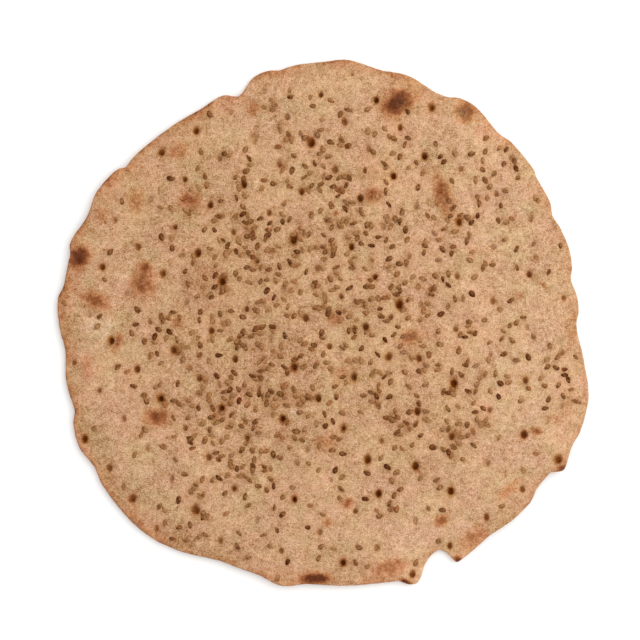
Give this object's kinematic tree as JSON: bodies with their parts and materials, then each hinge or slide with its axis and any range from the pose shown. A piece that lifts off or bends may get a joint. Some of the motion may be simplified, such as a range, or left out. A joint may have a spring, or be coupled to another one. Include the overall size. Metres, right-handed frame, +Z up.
{
  "type": "barley flatbread",
  "caption": "Thin round barley flatbread with an uneven torn edge, rows of docking pits and sesame seeds baked into its top.",
  "frame": {"origin": "middle of the outline seen from above, on the surface that the bread lies on", "axes": "+Z up, out of the seeded top; +X and +Y along the top, with the bite in the edge near -Y, between it and +X"},
  "size_m": [0.2182, 0.2164, 0.0059],
  "materials": {
    "crust": "matt baked barley dough, floury and finely grained, tan with brown scorched spots",
    "sesame": "brown unhulled sesame, dull with a faint oily sheen"
  },
  "bodies": {
    "root": {"barley_bread": "crust"}
  },
  "joints": []
}
